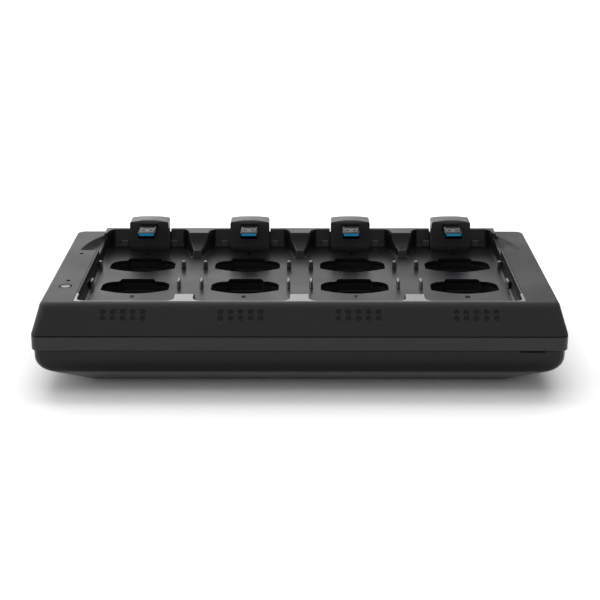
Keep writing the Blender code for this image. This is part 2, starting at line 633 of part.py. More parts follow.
def build_electronics(materials):
    bm = bmesh.new()
    add_prism(bm, rectangle(-128 * MM, 128 * MM, -56 * MM, 66 * MM), 8.4 * MM, 10.0 * MM)
    board = make("main_board", bm, materials["board"])
    tool = bmesh.new()
    for x, y in SCREW_XY:
        add_prism(tool, circle(x, y, 5.0 * MM, 12), 5 * MM, 12 * MM)
    combine(board, tool)

    back = REAR_SKIN - 0.4 * MM
    bm = bmesh.new()
    add_rod(bm, (DC_X, 67 * MM, SOCKET_Z), (DC_X, back, SOCKET_Z), 4.9 * MM, 20)
    jack = make("dc_jack", bm, materials["jack"])
    tool = bmesh.new()
    add_rod(tool, (DC_X, 70 * MM, SOCKET_Z), (DC_X, back + 5 * MM, SOCKET_Z), 3.2 * MM, 20)
    combine(jack, tool)
    pin = bmesh.new()
    add_rod(pin, (DC_X, 69 * MM, SOCKET_Z), (DC_X, back - 1 * MM, SOCKET_Z), 1.1 * MM, 10)
    combine(jack, pin, "UNION")
    shade(jack)

    bm = bmesh.new()
    add_front_prism(bm, rectangle(NET_X - 8 * MM, NET_X + 8 * MM, SOCKET_Z - 6.8 * MM,
                                  SOCKET_Z + 6.8 * MM), 67 * MM, back)
    jack = make("network_jack", bm, materials["steel"])
    tool = bmesh.new()
    add_front_prism(tool, rectangle(NET_X - 5.9 * MM, NET_X + 5.9 * MM, SOCKET_Z - 3.6 * MM,
                                    SOCKET_Z + 4.8 * MM), 70 * MM, back + 5 * MM)
    add_front_prism(tool, rectangle(NET_X - 2.0 * MM, NET_X + 2.0 * MM, SOCKET_Z - 5.6 * MM,
                                    SOCKET_Z - 3.0 * MM), 72 * MM, back + 5 * MM)
    combine(jack, tool)

    bm = bmesh.new()
    add_rod(bm, (RESET_X, REAR_SKIN - 4.2 * MM, SOCKET_Z),
            (RESET_X, REAR_SKIN - 0.8 * MM, SOCKET_Z), 1.3 * MM, 12)
    button = make("reset_button", bm, materials["button"])
    flange = bmesh.new()
    add_rod(flange, (RESET_X, REAR_SKIN - 5.0 * MM, SOCKET_Z),
            (RESET_X, REAR_SKIN - 3.4 * MM, SOCKET_Z), 2.6 * MM, 12)
    combine(button, flange, "UNION")
    shade(button)


def build_feet_and_screws(materials):
    for i, (x, y) in enumerate(FOOT_XY):
        bm = bmesh.new()
        add_stack(bm, [[(px, py, z * MM) for px, py in circle(x, y, r * MM, 20)]
                       for r, z in ((6.2, 0.0), (6.9, 0.5), (7.0, 1.9))])
        shade(make(f"rubber_foot_{i + 1}", bm, materials["rubber"]))
    for i, (x, y) in enumerate(SCREW_XY):
        bm = bmesh.new()
        add_stack(bm, [[(px, py, z * MM) for px, py in circle(x, y, r * MM, 12)]
                       for r, z in ((2.2, 1.5), (2.8, 2.1), (2.8, 3.1), (1.5, 3.1), (1.5, 8.2))])
        screw = make(f"base_screw_{i + 1}", bm, materials["steel"])
        cross = bmesh.new()
        for w, d in ((1.6, 0.35), (0.35, 1.6)):
            add_prism(cross, rectangle(x - w * MM, x + w * MM, y - d * MM, y + d * MM),
                      0.5 * MM, 2.3 * MM)
        combine(screw, cross)
        shade(screw)


def main():
    clear_scene()
    materials = {
        "cover": plastic("cover_plastic", (0.022, 0.022, 0.024), 0.42),
        "band": plastic("band_plastic", (0.024, 0.024, 0.026), 0.45),
        "tray": plastic("tray_plastic", (0.020, 0.020, 0.022), 0.55),
        "deck": plastic("deck_plastic", (0.035, 0.035, 0.038), 0.48),
        "liner": plastic("liner_plastic", (0.008, 0.008, 0.009), 0.6),
        "contact": plastic("contact_plastic", (0.03, 0.03, 0.03), 0.5),
        "head": plastic("head_plastic", (0.03, 0.03, 0.033), 0.42),
        "plug": plastic("plug_steel", (0.75, 0.75, 0.76), 0.25, 1.0),
        "steel": plastic("steel", (0.55, 0.55, 0.56), 0.35, 1.0),
        "blue": plastic("tongue_blue", (0.02, 0.26, 0.62), 0.4),
        "lens": plastic("light_guide", (0.05, 0.05, 0.055), 0.3),
        "button": plastic("button_plastic", (0.02, 0.02, 0.022), 0.4),
        "board": plastic("circuit_board", (0.01, 0.12, 0.04), 0.5),
        "jack": plastic("jack_plastic", (0.015, 0.015, 0.015), 0.5),
        "rubber": plastic("foot_rubber", (0.02, 0.02, 0.02), 0.85),
    }
    build_top_cover(materials["cover"])
    build_mid_band(materials["band"])
    build_base_tray(materials["tray"])
    build_bay_deck(materials["deck"])
    for row, y in enumerate(POCKET_Y):
        for bay, x in enumerate(BAY_X):
            number = bay + 1 + (4 if row == 0 else 0)
            build_pocket(number, x, y, materials["liner"], materials["contact"])
    for i, (x, bay) in enumerate(zip(HEAD_X, light_points())):
        build_head(i + 1, x, materials)
        build_light_bar(i + 1, bay, materials["lens"])
    build_button(materials)
    build_electronics(materials)
    build_feet_and_screws(materials)


main()
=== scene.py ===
import json
import math

import bmesh
import bpy
import numpy as np
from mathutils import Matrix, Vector


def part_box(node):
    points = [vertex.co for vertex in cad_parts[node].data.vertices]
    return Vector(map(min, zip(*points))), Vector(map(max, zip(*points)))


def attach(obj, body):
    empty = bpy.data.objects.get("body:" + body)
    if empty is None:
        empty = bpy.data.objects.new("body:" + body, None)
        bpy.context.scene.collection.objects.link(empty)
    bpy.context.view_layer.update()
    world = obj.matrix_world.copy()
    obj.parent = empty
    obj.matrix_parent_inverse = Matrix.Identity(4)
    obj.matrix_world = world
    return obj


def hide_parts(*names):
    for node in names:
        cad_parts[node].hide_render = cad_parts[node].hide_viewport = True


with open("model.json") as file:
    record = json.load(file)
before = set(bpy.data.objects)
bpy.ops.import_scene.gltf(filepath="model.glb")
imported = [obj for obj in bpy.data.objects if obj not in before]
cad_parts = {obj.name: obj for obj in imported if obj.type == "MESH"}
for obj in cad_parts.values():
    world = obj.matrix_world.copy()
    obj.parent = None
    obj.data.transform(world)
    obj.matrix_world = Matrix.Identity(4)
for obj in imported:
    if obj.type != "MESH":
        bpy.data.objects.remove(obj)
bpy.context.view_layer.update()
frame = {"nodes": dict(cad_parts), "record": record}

MM = 0.001

# ---------------------------------------------------------------- measures read from the frame

NODES = frame["nodes"]
BAYS = range(1, 5)
COVER_LOW, COVER_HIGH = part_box("top_cover")
DECK_LOW, DECK_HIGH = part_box("bay_deck")
BAND_LOW, BAND_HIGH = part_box("mid_band")
HALF = COVER_HIGH.x
FRONT, REAR = COVER_LOW.y, COVER_HIGH.y
SEAM_Z, COVER_TOP = COVER_LOW.z, COVER_HIGH.z
DECK_FRONT = DECK_LOW.y
RIM_TOP = DECK_HIGH.z
WING_HALF = DECK_HIGH.x


def middle(node):
    low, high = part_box(node)
    return (low + high) / 2


BAY_X = [middle(f"contact_block_{i}").x for i in BAYS]
HEAD_X = [middle(f"dock_head_{i}").x for i in BAYS]
POCKET_Y = [middle("contact_block_5").y, middle("contact_block_1").y]
HEAD_LOW, HEAD_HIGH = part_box("dock_head_1")
HEAD_HALF = (HEAD_HIGH.x - HEAD_LOW.x) / 2
HEAD_FRONT, HEAD_BACK = HEAD_LOW.y, HEAD_HIGH.y
HEAD_TOP = HEAD_HIGH.z
PLUG_LOW, PLUG_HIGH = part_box("usb_shell_1")
BUTTON = middle("link_button")

# Sizes that the frame's boxes don't give
TOP_HALF = 166.5 * MM               # half width of the cover's flat top
TOP_FRONT = -79.8 * MM              # where the planes of the fascia and the top meet
ROLL_R = 8.0 * MM                   # round between the fascia and the top
DECK_HALF = 145.7 * MM
DECK_REAR = 89.8 * MM
PLATE_TOP = 45.5 * MM
PLATE_HALF = 144.6 * MM
WING_FRONT = 41.0 * MM
WING_UNDER = 50.5 * MM
RIM_FRONT = 77.7 * MM
RIM_REAR = 91.4 * MM
RIM_HALF = 145.4 * MM
HEAD_REAR = 87.8 * MM               # back of a head's stem
SLOT_HALF = HEAD_HALF + 0.5 * MM    # the deck's slot for a head
SLOT_FRONT = HEAD_FRONT - 1.0 * MM
NOTCH_HALF = 31.0 * MM
NOTCH_FRONT = -72.9 * MM
LEDGE_REAR = -58.9 * MM
ALCOVE_REAR = 87.6 * MM
ALCOVE_FRONT_HALF = 35.0 * MM
ALCOVE_BACK_HALF = 30.1 * MM
NOSE_Y = 58.0 * MM                  # front end of a rib between two bays
WALL_DRAFT = 0.55 * MM              # how far a sunken wall leans out
POCKET_HALF = 23.2 * MM
LIGHT_PITCH = 6.4 * MM
LIGHT_CENTRE = 14.3 * MM            # up the slope from the seam
LIGHT_ROWS = [-2.1 * MM, 2.1 * MM]
LIGHT_R = 1.4 * MM
BUTTON_R = 3.35 * MM
BUTTON_HOLE_R = 4.35 * MM
STATUS_HOLE_R = 1.5 * MM
POST_X = 29.8 * MM                  # from a bay's middle
BUMPER_X = 18.6 * MM
PIN_PITCH = 4.2 * MM
NUMBER_SIZE = 7.0 * MM
NUMBER_Y = (-33.6 * MM, 67.0 * MM)  # front row, rear row


# ---------------------------------------------------------------- materials

def node(tree, kind, **values):
    item = tree.nodes.new(kind)
    for key, value in values.items():
        setattr(item, key, value)
    return item


def noise(tree, coords, scale, detail=3.0):
    item = node(tree, "ShaderNodeTexNoise")
    item.inputs["Scale"].default_value = scale
    item.inputs["Detail"].default_value = detail
    tree.links.new(coords.outputs["Object"], item.inputs["Vector"])
    return item.outputs["Fac"]


def spread(tree, source, low, high):
    """Map a noise value onto a range."""
    item = node(tree, "ShaderNodeMapRange")
    item.inputs["From Min"].default_value = 0.3
    item.inputs["From Max"].default_value = 0.7
    item.inputs["To Min"].default_value = low
    item.inputs["To Max"].default_value = high
    tree.links.new(source, item.inputs["Value"])
    return item.outputs["Result"]


def lift_by_height(tree, coords, tone, shader, low, high, shade):
    """Paint a floor reflection: lighten the part of a surface that lies below a height."""
    split = node(tree, "ShaderNodeSeparateXYZ")
    tree.links.new(coords.outputs["Object"], split.inputs["Vector"])
    ramp = node(tree, "ShaderNodeMapRange")
    ramp.inputs["From Min"].default_value = low
    ramp.inputs["From Max"].default_value = high
    ramp.inputs["To Min"].default_value = 1.0
    ramp.inputs["To Max"].default_value = 0.0
    tree.links.new(split.outputs["Z"], ramp.inputs["Value"])
    mix = node(tree, "ShaderNodeMix", data_type="RGBA")
    mix.inputs["B"].default_value = (shade, shade, shade, 1)
    tree.links.new(tone.outputs["Result"], mix.inputs["A"])
    tree.links.new(ramp.outputs["Result"], mix.inputs["Factor"])
    tree.links.new(mix.outputs["Result"], shader.inputs["Base Color"])


def finish_material(name, color, roughness, metallic=0.0, grain=0.35 * MM, relief=0.012 * MM,
                    vary=0.18, smear=0.06, specular=0.5, coat=0.0, painted_floor_reflection=None):
    """A moulded or metal surface: fine grain, slow changes of tone and uneven polish, and where
    asked a painted floor reflection low down.
    """
    material = bpy.data.materials.new(name)
    material.use_nodes = True
    tree = material.node_tree
    shader = tree.nodes["Principled BSDF"]
    shader.inputs["Metallic"].default_value = metallic
    shader.inputs["Specular IOR Level"].default_value = specular
    shader.inputs["Coat Weight"].default_value = coat
    coords = node(tree, "ShaderNodeTexCoord")
    tone = node(tree, "ShaderNodeMix", data_type="RGBA")
    tone.inputs["A"].default_value = (*[c * (1 - vary) for c in color], 1)
    tone.inputs["B"].default_value = (*[min(1, c * (1 + vary)) for c in color], 1)
    blend = node(tree, "ShaderNodeMath", operation="MULTIPLY")
    tree.links.new(noise(tree, coords, 1 / (3 * grain), 2), blend.inputs[0])
    tree.links.new(spread(tree, noise(tree, coords, 38, 4), 0.6, 1.4), blend.inputs[1])
    tree.links.new(blend.outputs[0], tone.inputs["Factor"])
    tree.links.new(tone.outputs["Result"], shader.inputs["Base Color"])
    # painted floor reflection: the tone is lightened below a height
    if painted_floor_reflection:
        lift_by_height(tree, coords, tone, shader, *painted_floor_reflection)
    polish = spread(tree, noise(tree, coords, 24, 5), roughness - smear, roughness + smear)
    tree.links.new(polish, shader.inputs["Roughness"])
    bump = node(tree, "ShaderNodeBump")
    bump.inputs["Distance"].default_value = relief
    bump.inputs["Strength"].default_value = 1.0
    tree.links.new(noise(tree, coords, 1 / grain, 2), bump.inputs["Height"])
    tree.links.new(bump.outputs["Normal"], shader.inputs["Normal"])
    return material


MATERIALS = {
    "cover": finish_material("cover_plastic", (0.0145, 0.0145, 0.0155), 0.42, specular=0.36),
    "band": finish_material("band_plastic", (0.0078, 0.0078, 0.0086), 0.30, specular=0.36),
    # the tray's undercut, below 10 mm and fading out by 12.5 mm, is painted lighter: a painted
    # reflection of the white floor
    "tray": finish_material("tray_plastic", (0.003, 0.003, 0.0035), 0.34, grain=0.6 * MM,
                            relief=0.015 * MM, specular=0.25, painted_floor_reflection=(10 * MM, 12.5 * MM, 0.12)),
    "deck": finish_material("deck_plastic", (0.0075, 0.0075, 0.0085), 0.30, specular=0.36),
    "ledge": finish_material("ledge_plastic", (0.03, 0.03, 0.033), 0.2, relief=0.006 * MM,
                             specular=1.0, coat=1.0),
    "post": finish_material("post_plastic", (0.035, 0.035, 0.038), 0.24, relief=0.004 * MM,
                            specular=0.9, coat=0.6),
    "pad": finish_material("pad_rubber", (0.085, 0.085, 0.088), 0.5),
    "liner": finish_material("liner_plastic", (0.0035, 0.0035, 0.004), 0.5),
    "contact": finish_material("contact_plastic", (0.012, 0.012, 0.012), 0.45),
    "head": finish_material("head_plastic", (0.042, 0.042, 0.045), 0.34),
    "plug": finish_material("plug_steel", (0.06, 0.06, 0.063), 0.22, metallic=1.0, vary=0.06,
                            smear=0.03, relief=0.003 * MM),
    "tongue": finish_material("tongue_plastic", (0.03, 0.52, 1.0), 0.35, vary=0.08),
    "gold": finish_material("contact_gold", (0.83, 0.58, 0.22), 0.25, metallic=1.0, vary=0.08,
                            relief=0.004 * MM),
    "steel": finish_material("zinc_steel", (0.50, 0.50, 0.50), 0.34, metallic=1.0, vary=0.12),
    "light_guide": finish_material("light_guide", (0.0012, 0.0012, 0.0015), 0.8, vary=0.1,
                                   relief=0.002 * MM, specular=0.0),
    "light_bar": finish_material("light_bar", (0.0075, 0.0075, 0.008), 0.4, vary=0.1,
                                 relief=0.002 * MM, specular=0.3),
    "button": finish_material("button_plastic", (0.03, 0.03, 0.032), 0.2, coat=0.6),
    "board": finish_material("circuit_board", (0.01, 0.10, 0.035), 0.35, vary=0.25),
    "jack": finish_material("jack_plastic", (0.009, 0.009, 0.009), 0.4),
    "rubber": finish_material("foot_rubber", (0.012, 0.012, 0.012), 0.75, grain=0.5 * MM,
                              relief=0.03 * MM),
    "ink": finish_material("mark_ink", (0.002, 0.002, 0.002), 1.0, vary=0.1, specular=0.0),
}


# ---------------------------------------------------------------- mesh helpers

def arc(cx, cy, radius, start, end, steps):
    angles = [math.radians(start + (end - start) * i / steps) for i in range(steps + 1)]
    return [(cx + radius * math.cos(a), cy + radius * math.sin(a)) for a in angles]


def circle(cx, cy, radius, steps=32):
    return arc(cx, cy, radius, 0, 360, steps)[:-1]


def rounded(x0, x1, y0, y1, radius, steps=10):
    r = radius
    return (arc(x1 - r, y0 + r, r, -90, 0, steps) + arc(x1 - r, y1 - r, r, 0, 90, steps)
            + arc(x0 + r, y1 - r, r, 90, 180, steps) + arc(x0 + r, y0 + r, r, 180, 270, steps))


def rectangle(x0, x1, y0, y1):
    return [(x0, y0), (x1, y0), (x1, y1), (x0, y1)]


def add_stack(bm, rings, closed=False):
    """Skin a list of point rings, with end caps or as one closed ring of rings."""
    rows = [[bm.verts.new(p) for p in ring] for ring in rings]
    pairs = list(zip(rows, rows[1:]))
    if closed:
        pairs.append((rows[-1], rows[0]))
    for low, high in pairs:
        for i in range(len(low)):
            j = (i + 1) % len(low)
            bm.faces.new((low[i], low[j], high[j], high[i]))
    if not closed:
        bm.faces.new(rows[0][::-1])
        bm.faces.new(rows[-1])


def add_prism(bm, outline, z0, z1):
    add_stack(bm, [[(x, y, z) for x, y in outline] for z in (z0, z1)])


def add_side_prism(bm, outline, x0, x1):
    add_stack(bm, [[(x, y, z) for y, z in outline] for x in (x0, x1)])


def add_front_prism(bm, outline, y0, y1):
    add_stack(bm, [[(x, y, z) for x, z in outline] for y in (y0, y1)])


def add_rod(bm, start, end, radius, steps=24):
    axis = Vector(end) - Vector(start)
    turn = axis.to_track_quat("Z", "Y").to_matrix().to_4x4()
    ring = [turn @ Vector((x, y, 0)) for x, y in circle(0, 0, radius, steps)]
    add_stack(bm, [[p + Vector(at) for p in ring] for at in (start, end)])


def make(name, bm, material):
    bmesh.ops.recalc_face_normals(bm, faces=bm.faces)
    mesh = bpy.data.meshes.new(name)
    bm.to_mesh(mesh)
    bm.free()
    if material:
        mesh.materials.append(MATERIALS[material])
    obj = bpy.data.objects.new(name, mesh)
    bpy.context.scene.collection.objects.link(obj)
    return obj


def combine(obj, bm, operation="DIFFERENCE"):
    """Apply an exact Boolean with the solids in bm."""
    tool = make(obj.name + "_tool", bm, None)
    step = obj.modifiers.new("shape", "BOOLEAN")
    step.operation = operation
    step.solver = "EXACT"
    step.use_self = True
    step.object = tool
    graph = bpy.context.evaluated_depsgraph_get()
    graph.update()
    mesh = bpy.data.meshes.new_from_object(obj.evaluated_get(graph))
    obj.modifiers.clear()
    obj.data = mesh
    bpy.data.objects.remove(tool, do_unlink=True)


def soften(obj, width, segments=3, limit=30.0):
    """Round the edges of a piece, and shade it by its large faces."""
    step = obj.modifiers.new("edges", "BEVEL")
    step.width = width
    step.segments = segments
    step.limit_method = "ANGLE"
    step.angle_limit = math.radians(limit)
    step.harden_normals = False
    obj.data.shade_smooth()
    obj.modifiers.new("normals", "WEIGHTED_NORMAL").keep_sharp = True


def shade(obj, angle):
    """Shade smooth, with hard edges where faces meet at more than the angle."""
    obj.data.shade_smooth()
    obj.data.set_sharp_from_angle(angle=math.radians(angle))


def place(obj, body="housing", replaces=()):
    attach(obj, body)
    if replaces:
        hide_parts(*replaces)


# ---------------------------------------------------------------- housing shells

def housing_ring(half, front, rear, z_front, z_side, radius=5.0 * MM):
    points = []
    for x, y in rounded(-half, half, front, rear, radius):
        near = max(0.0, min(1.0, (front + radius - y) / radius))
        points.append((x, y, z_side + (z_front - z_side) * near))
    return points


def fillet(before, corner, after, radius, steps):
    """Points of the arc that rounds one corner of a 2-D profile."""
    corner = Vector(corner)
    a = (Vector(before) - corner).normalized()
    b = (Vector(after) - corner).normalized()
    half = a.angle(b) / 2
    centre = corner + (a + b).normalized() * (radius / math.sin(half))
    start = corner + a * (radius / math.tan(half)) - centre
    sweep = math.pi - 2 * half
    turn = -sweep if start.cross(corner + b - centre) < 0 else sweep
    points = []
    for i in range(steps + 1):
        angle = turn * i / steps
        points.append((centre.x + start.x * math.cos(angle) - start.y * math.sin(angle),
                       centre.y + start.x * math.sin(angle) + start.y * math.cos(angle)))
    return points


def fascia_point(along, depth=0.0):
    """(y, z) on the fascia: along runs up the slope, depth goes inwards."""
    low = Vector((FRONT, SEAM_Z))
    high = Vector((TOP_FRONT, COVER_TOP))
    run = (high - low).normalized()
    inward = Vector((run.y, -run.x))
    spot = low + run * (LIGHT_CENTRE + along) + inward * depth
    return spot.x, spot.y


def light_points(x):
    return [(x + (i - 2) * LIGHT_PITCH, row) for row in LIGHT_ROWS for i in range(5)]


def build_cover():
    steps = 8
    top = (0.0, COVER_TOP)
    front = fillet((FRONT, SEAM_Z), (TOP_FRONT, COVER_TOP), top, ROLL_R, steps)
    side = fillet((-HALF, SEAM_Z), (-TOP_HALF, COVER_TOP), top, 1.6 * MM, steps)
    back = fillet((-REAR, SEAM_Z), (-REAR + 0.6 * MM, COVER_TOP), top, 1.0 * MM, steps)
    foot = 0.35 * MM                # small round under the seam's edge
    rings = [housing_ring(HALF - foot, FRONT + foot, REAR - foot, SEAM_Z, SEAM_Z),
             housing_ring(HALF - foot * 0.3, FRONT + foot * 0.3, REAR - foot * 0.3,
                          SEAM_Z + foot * 0.3, SEAM_Z + foot * 0.3),
             housing_ring(HALF - 0.1 * MM, FRONT + 0.28 * MM, REAR,
                          SEAM_Z + foot, SEAM_Z + foot)]
    for (fy, fz), (sx, sz), (by, _) in zip(front, side, back):
        rings.append(housing_ring(-sx, fy, -by, fz, sz))
    edge_half, edge_front, edge_rear = DECK_HALF + 0.3 * MM, DECK_FRONT - 0.3 * MM, 90.1 * MM
    lip = 0.3 * MM
    for inset, drop in ((lip, 0.0), (lip * 0.3, lip * 0.3), (0.0, lip), (0.0, 3.0 * MM)):
        rings.append(housing_ring(edge_half + inset, edge_front - inset, edge_rear + inset,
                                  COVER_TOP - drop, COVER_TOP - drop, 1.5 * MM))
    rings.append(housing_ring(TOP_HALF - 3 * MM, TOP_FRONT + 0.8 * MM, edge_rear + 0.2 * MM,
                              COVER_TOP - 4.0 * MM, COVER_TOP - 3.0 * MM, 1.5 * MM))
    rings.append(housing_ring(HALF - 2.5 * MM, FRONT + 3.3 * MM, REAR - 1.6 * MM,
                              SEAM_Z, SEAM_Z, 3 * MM))
    bm = bmesh.new()
    add_stack(bm, rings, closed=True)
    cover = make("cover_shell", bm, "cover")
    wings = bmesh.new()
    for side in (-1, 1):
        add_prism(wings, wing_outline(side, 0.2 * MM), WING_UNDER - 1 * MM, COVER_TOP + 5 * MM)
    combine(cover, wings)
    tool = bmesh.new()
    for bay in BAY_X:
        for x, along in light_points(bay):
            y0, z0 = fascia_point(along, -3 * MM)
            y1, z1 = fascia_point(along, 5 * MM)
            add_rod(tool, (x, y0, z0), (x, y1, z1), LIGHT_R + 0.2 * MM, 20)
    add_prism(tool, circle(BUTTON.x, BUTTON.y, BUTTON_HOLE_R, 48), COVER_TOP - 6 * MM,
              COVER_TOP + 2 * MM)
    for name in ("status_light_front", "status_light_rear"):
        spot = middle(name)
        add_prism(tool, circle(spot.x, spot.y, STATUS_HOLE_R, 24), COVER_TOP - 6 * MM,
                  COVER_TOP + 2 * MM)
    combine(cover, tool)
    shade(cover, 28)
    cover.modifiers.new("normals", "WEIGHTED_NORMAL").keep_sharp = True
    place(cover, replaces=["top_cover"])


def build_band():
    low, top = BAND_LOW.z, BAND_HIGH.z
    r = 0.6 * MM
    rings = []
    for angle in (-90, -45, 0):
        d = r * (1 - math.cos(math.radians(angle)))
        rings.append((d, low + r + r * math.sin(math.radians(angle))))
    for angle in (0, 30, 60, 90):
        d = r * (1 - math.cos(math.radians(angle)))
        rings.append((d, top - r + r * math.sin(math.radians(angle))))
    rings += [(2.5 * MM, top), (2.5 * MM, low)]
    bm = bmesh.new()
    add_stack(bm, [housing_ring(HALF - d, FRONT + d, REAR - d, z, z, 5 * MM - d * 0.5)
                   for d, z in rings], closed=True)
    band = make("band_shell", bm, "band")
    shade(band, 50)
    band.modifiers.new("normals", "WEIGHTED_NORMAL").keep_sharp = True
    place(band, replaces=["mid_band"])


# ---------------------------------------------------------------- deck as a height field

def pocket_outline(cx, cy, grow=0.0, fine=4):
    """Bowed front edge, round back corners and a raised middle at the back."""
    half = POCKET_HALF + grow
    steps = 4 * fine
    front = [(half * (i / steps * 2 - 1),
              -9.0 * MM - grow - 7.8 * MM * (1 - (i / steps * 2 - 1) ** 2))
             for i in range(steps + 1)]
    shoulder = arc(half - 9.6 * MM, 0.4 * MM + grow, 9.6 * MM, 0, 80, 3 * fine)
    back = [(12.9 * MM + grow, 10.1 * MM + grow), (12.3 * MM + grow, 10.8 * MM + grow),
            (11.5 * MM + grow, 14.8 * MM + grow), (11.0 * MM + grow, 15.6 * MM + grow),
            (10.1 * MM + grow, 16.0 * MM + grow)]
    right = shoulder + back
    left = [(-x, y) for x, y in right[::-1]]
    return [(cx + x, cy + y) for x, y in front + right + left]


def polygon_distance(px, py, outline):
    """Signed distance to a closed outline, positive inside."""
    best = np.full(px.shape, 1e9)
    inside = np.zeros(px.shape, bool)
    count = len(outline)
    for i in range(count):
        ax, ay = outline[i]
        bx, by = outline[(i + 1) % count]
        dx, dy = bx - ax, by - ay
        length = dx * dx + dy * dy
        if length < 1e-18:
            continue
        t = np.clip(((px - ax) * dx + (py - ay) * dy) / length, 0, 1)
        best = np.minimum(best, (px - ax - t * dx) ** 2 + (py - ay - t * dy) ** 2)
        crosses = (ay > py) != (by > py)
        if dy != 0:
            inside ^= crosses & (px < ax + (py - ay) * dx / dy)
    return np.where(inside, 1, -1) * np.sqrt(best)


def box_distance(px, py, x0, x1, y0, y1, radius=0.0):
    """Signed distance to a rectangle with round corners, positive inside."""
    qx = np.abs(px - (x0 + x1) / 2) - (x1 - x0) / 2 + radius
    qy = np.abs(py - (y0 + y1) / 2) - (y1 - y0) / 2 + radius
    outer = np.hypot(np.maximum(qx, 0), np.maximum(qy, 0))
    return radius - outer - np.minimum(np.maximum(qx, qy), 0)


def alcove_outline(cx):
    back, front = ALCOVE_BACK_HALF, ALCOVE_FRONT_HALF
    knots = [(NOSE_Y - 10 * MM, front), (NOSE_Y, front), (NOSE_Y + 4 * MM, front - 0.4 * MM),
             (72 * MM, back + 2.3 * MM), (RIM_FRONT, back)]
    ys = np.linspace(knots[0][0], knots[-1][0], 20)
    xs = np.interp(ys, [k[0] for k in knots], [k[1] for k in knots])
    right = [(float(x), float(y)) for x, y in zip(xs, ys)]
    deep, wide = ALCOVE_REAR - RIM_FRONT, 5.2 * MM
    right += [(back - wide + wide * math.cos(a), RIM_FRONT + deep * math.sin(a))
              for a in np.linspace(0.15, math.pi / 2, 12)]
    left = [(-x, y) for x, y in right[::-1]]
    edge = PLATE_HALF - 0.2 * MM
    return [(max(-edge, min(edge, cx + x)), y) for x, y in right + left]


def wing_curve():
    """Outer edge of a scooped wing, from its front corner to its tip."""
    knots = [(0.0, 41.0), (0.1, 44.0), (1.1, 50.0), (2.4, 56.6), (4.2, 62.6), (6.8, 69.4),
             (9.9, 75.6), (12.6, 80.0)]
    ys = np.linspace(knots[0][1], knots[-1][1], 27)
    inset = np.interp(ys, [k[1] for k in knots], [k[0] for k in knots])
    smooth = np.convolve(np.pad(inset, 2, "edge"), np.ones(5) / 5, "valid")
    smooth[0], smooth[-1] = inset[0], inset[-1]
    return [(WING_HALF - d * MM, y * MM) for d, y in zip(smooth.tolist(), ys.tolist())]


def wing_outline(side, grow=0.0):
    """Plan of a scooped wing, let into the cover beside the deck."""
    inner = DECK_HALF - 0.8 * MM
    outline = [(inner, WING_FRONT - grow), (WING_HALF + grow, WING_FRONT - grow)]
    outline += [(x + grow, y) for x, y in wing_curve()] + [(inner, 82 * MM)]
    return [(side * x, y) for x, y in outline]


def deck_mask(px, py):
    """Signed distance to the deck's plan with its holes, positive on material."""
    body = box_distance(px, py, -DECK_HALF, DECK_HALF, DECK_FRONT, DECK_REAR, 1.2 * MM)
    rim = box_distance(px, py, -RIM_HALF, RIM_HALF, 80 * MM, RIM_REAR, 0.8 * MM)
    mask = np.maximum(body, rim)
    for side in (-1, 1):
        mask = np.maximum(mask, polygon_distance(px, py, wing_outline(side)))
    for x in BAY_X:
        for y in POCKET_Y:
            mask = np.minimum(mask, -polygon_distance(px, py, pocket_outline(x, y)))
    for x in HEAD_X:
        mask = np.minimum(mask, -box_distance(px, py, x - SLOT_HALF, x + SLOT_HALF, SLOT_FRONT,
                                              REAR + 9 * MM))
    return mask


def sunk_distance(px, py):
    """Signed distance to the sunken part of the deck, positive inside it."""
    sunk = box_distance(px, py, -PLATE_HALF, PLATE_HALF, LEDGE_REAR, NOSE_Y + 2 * MM, 1.0 * MM)
    for x in BAY_X:
        sunk = np.maximum(sunk, box_distance(px, py, x - NOTCH_HALF, x + NOTCH_HALF, NOTCH_FRONT,
                                             LEDGE_REAR + 12 * MM, 5 * MM))
        sunk = np.maximum(sunk, polygon_distance(px, py, alcove_outline(x)))
    return sunk


def wing_level(px, py):
    """Scooped surface: it falls steeply from the outer curve to a shallow trough."""
    curve = wing_curve()
    far = [(curve[0][0], 20 * MM)] + curve + [(curve[-1][0] - 8 * MM, 90 * MM)]
    reach = [(100 * MM, 90 * MM), (100 * MM, 20 * MM)]
    t = np.clip(polygon_distance(np.abs(px), py, far + reach) / (5.5 * MM), 0, 1)
    depth = np.interp(py, [WING_FRONT, 50 * MM, 62 * MM, 76 * MM, 83 * MM],
                      [4.0 * MM, 4.6 * MM, 4.4 * MM, 2.2 * MM, 0.1 * MM])
    return COVER_TOP - depth * (1 - (1 - t) ** 2.2)


def high_level(px, py):
    """Height of the deck outside its sunken part."""
    flat = np.full(px.shape, COVER_TOP - 0.05 * MM)
    level = np.where(py > WING_FRONT, wing_level(px, py), flat)
    rim = (np.abs(px) < RIM_HALF) & (py > RIM_FRONT - 1 * MM)
    level = np.where(rim, RIM_TOP, level)
    rib_y = [NOSE_Y - 5 * MM, NOSE_Y + 2 * MM, 66 * MM, 70 * MM, 73 * MM, 75 * MM, 76.8 * MM,
             RIM_FRONT, 100 * MM]
    rib_z = [49.6 * MM, 49.8 * MM, 50.5 * MM, 51.3 * MM, 52.6 * MM, 54.4 * MM, 57.2 * MM,
             RIM_TOP, RIM_TOP]
    between = (np.abs(px) < BAY_X[3] + 5 * MM) & (py > NOSE_Y - 8 * MM)
    return np.where(between, np.interp(py, rib_y, rib_z), level)


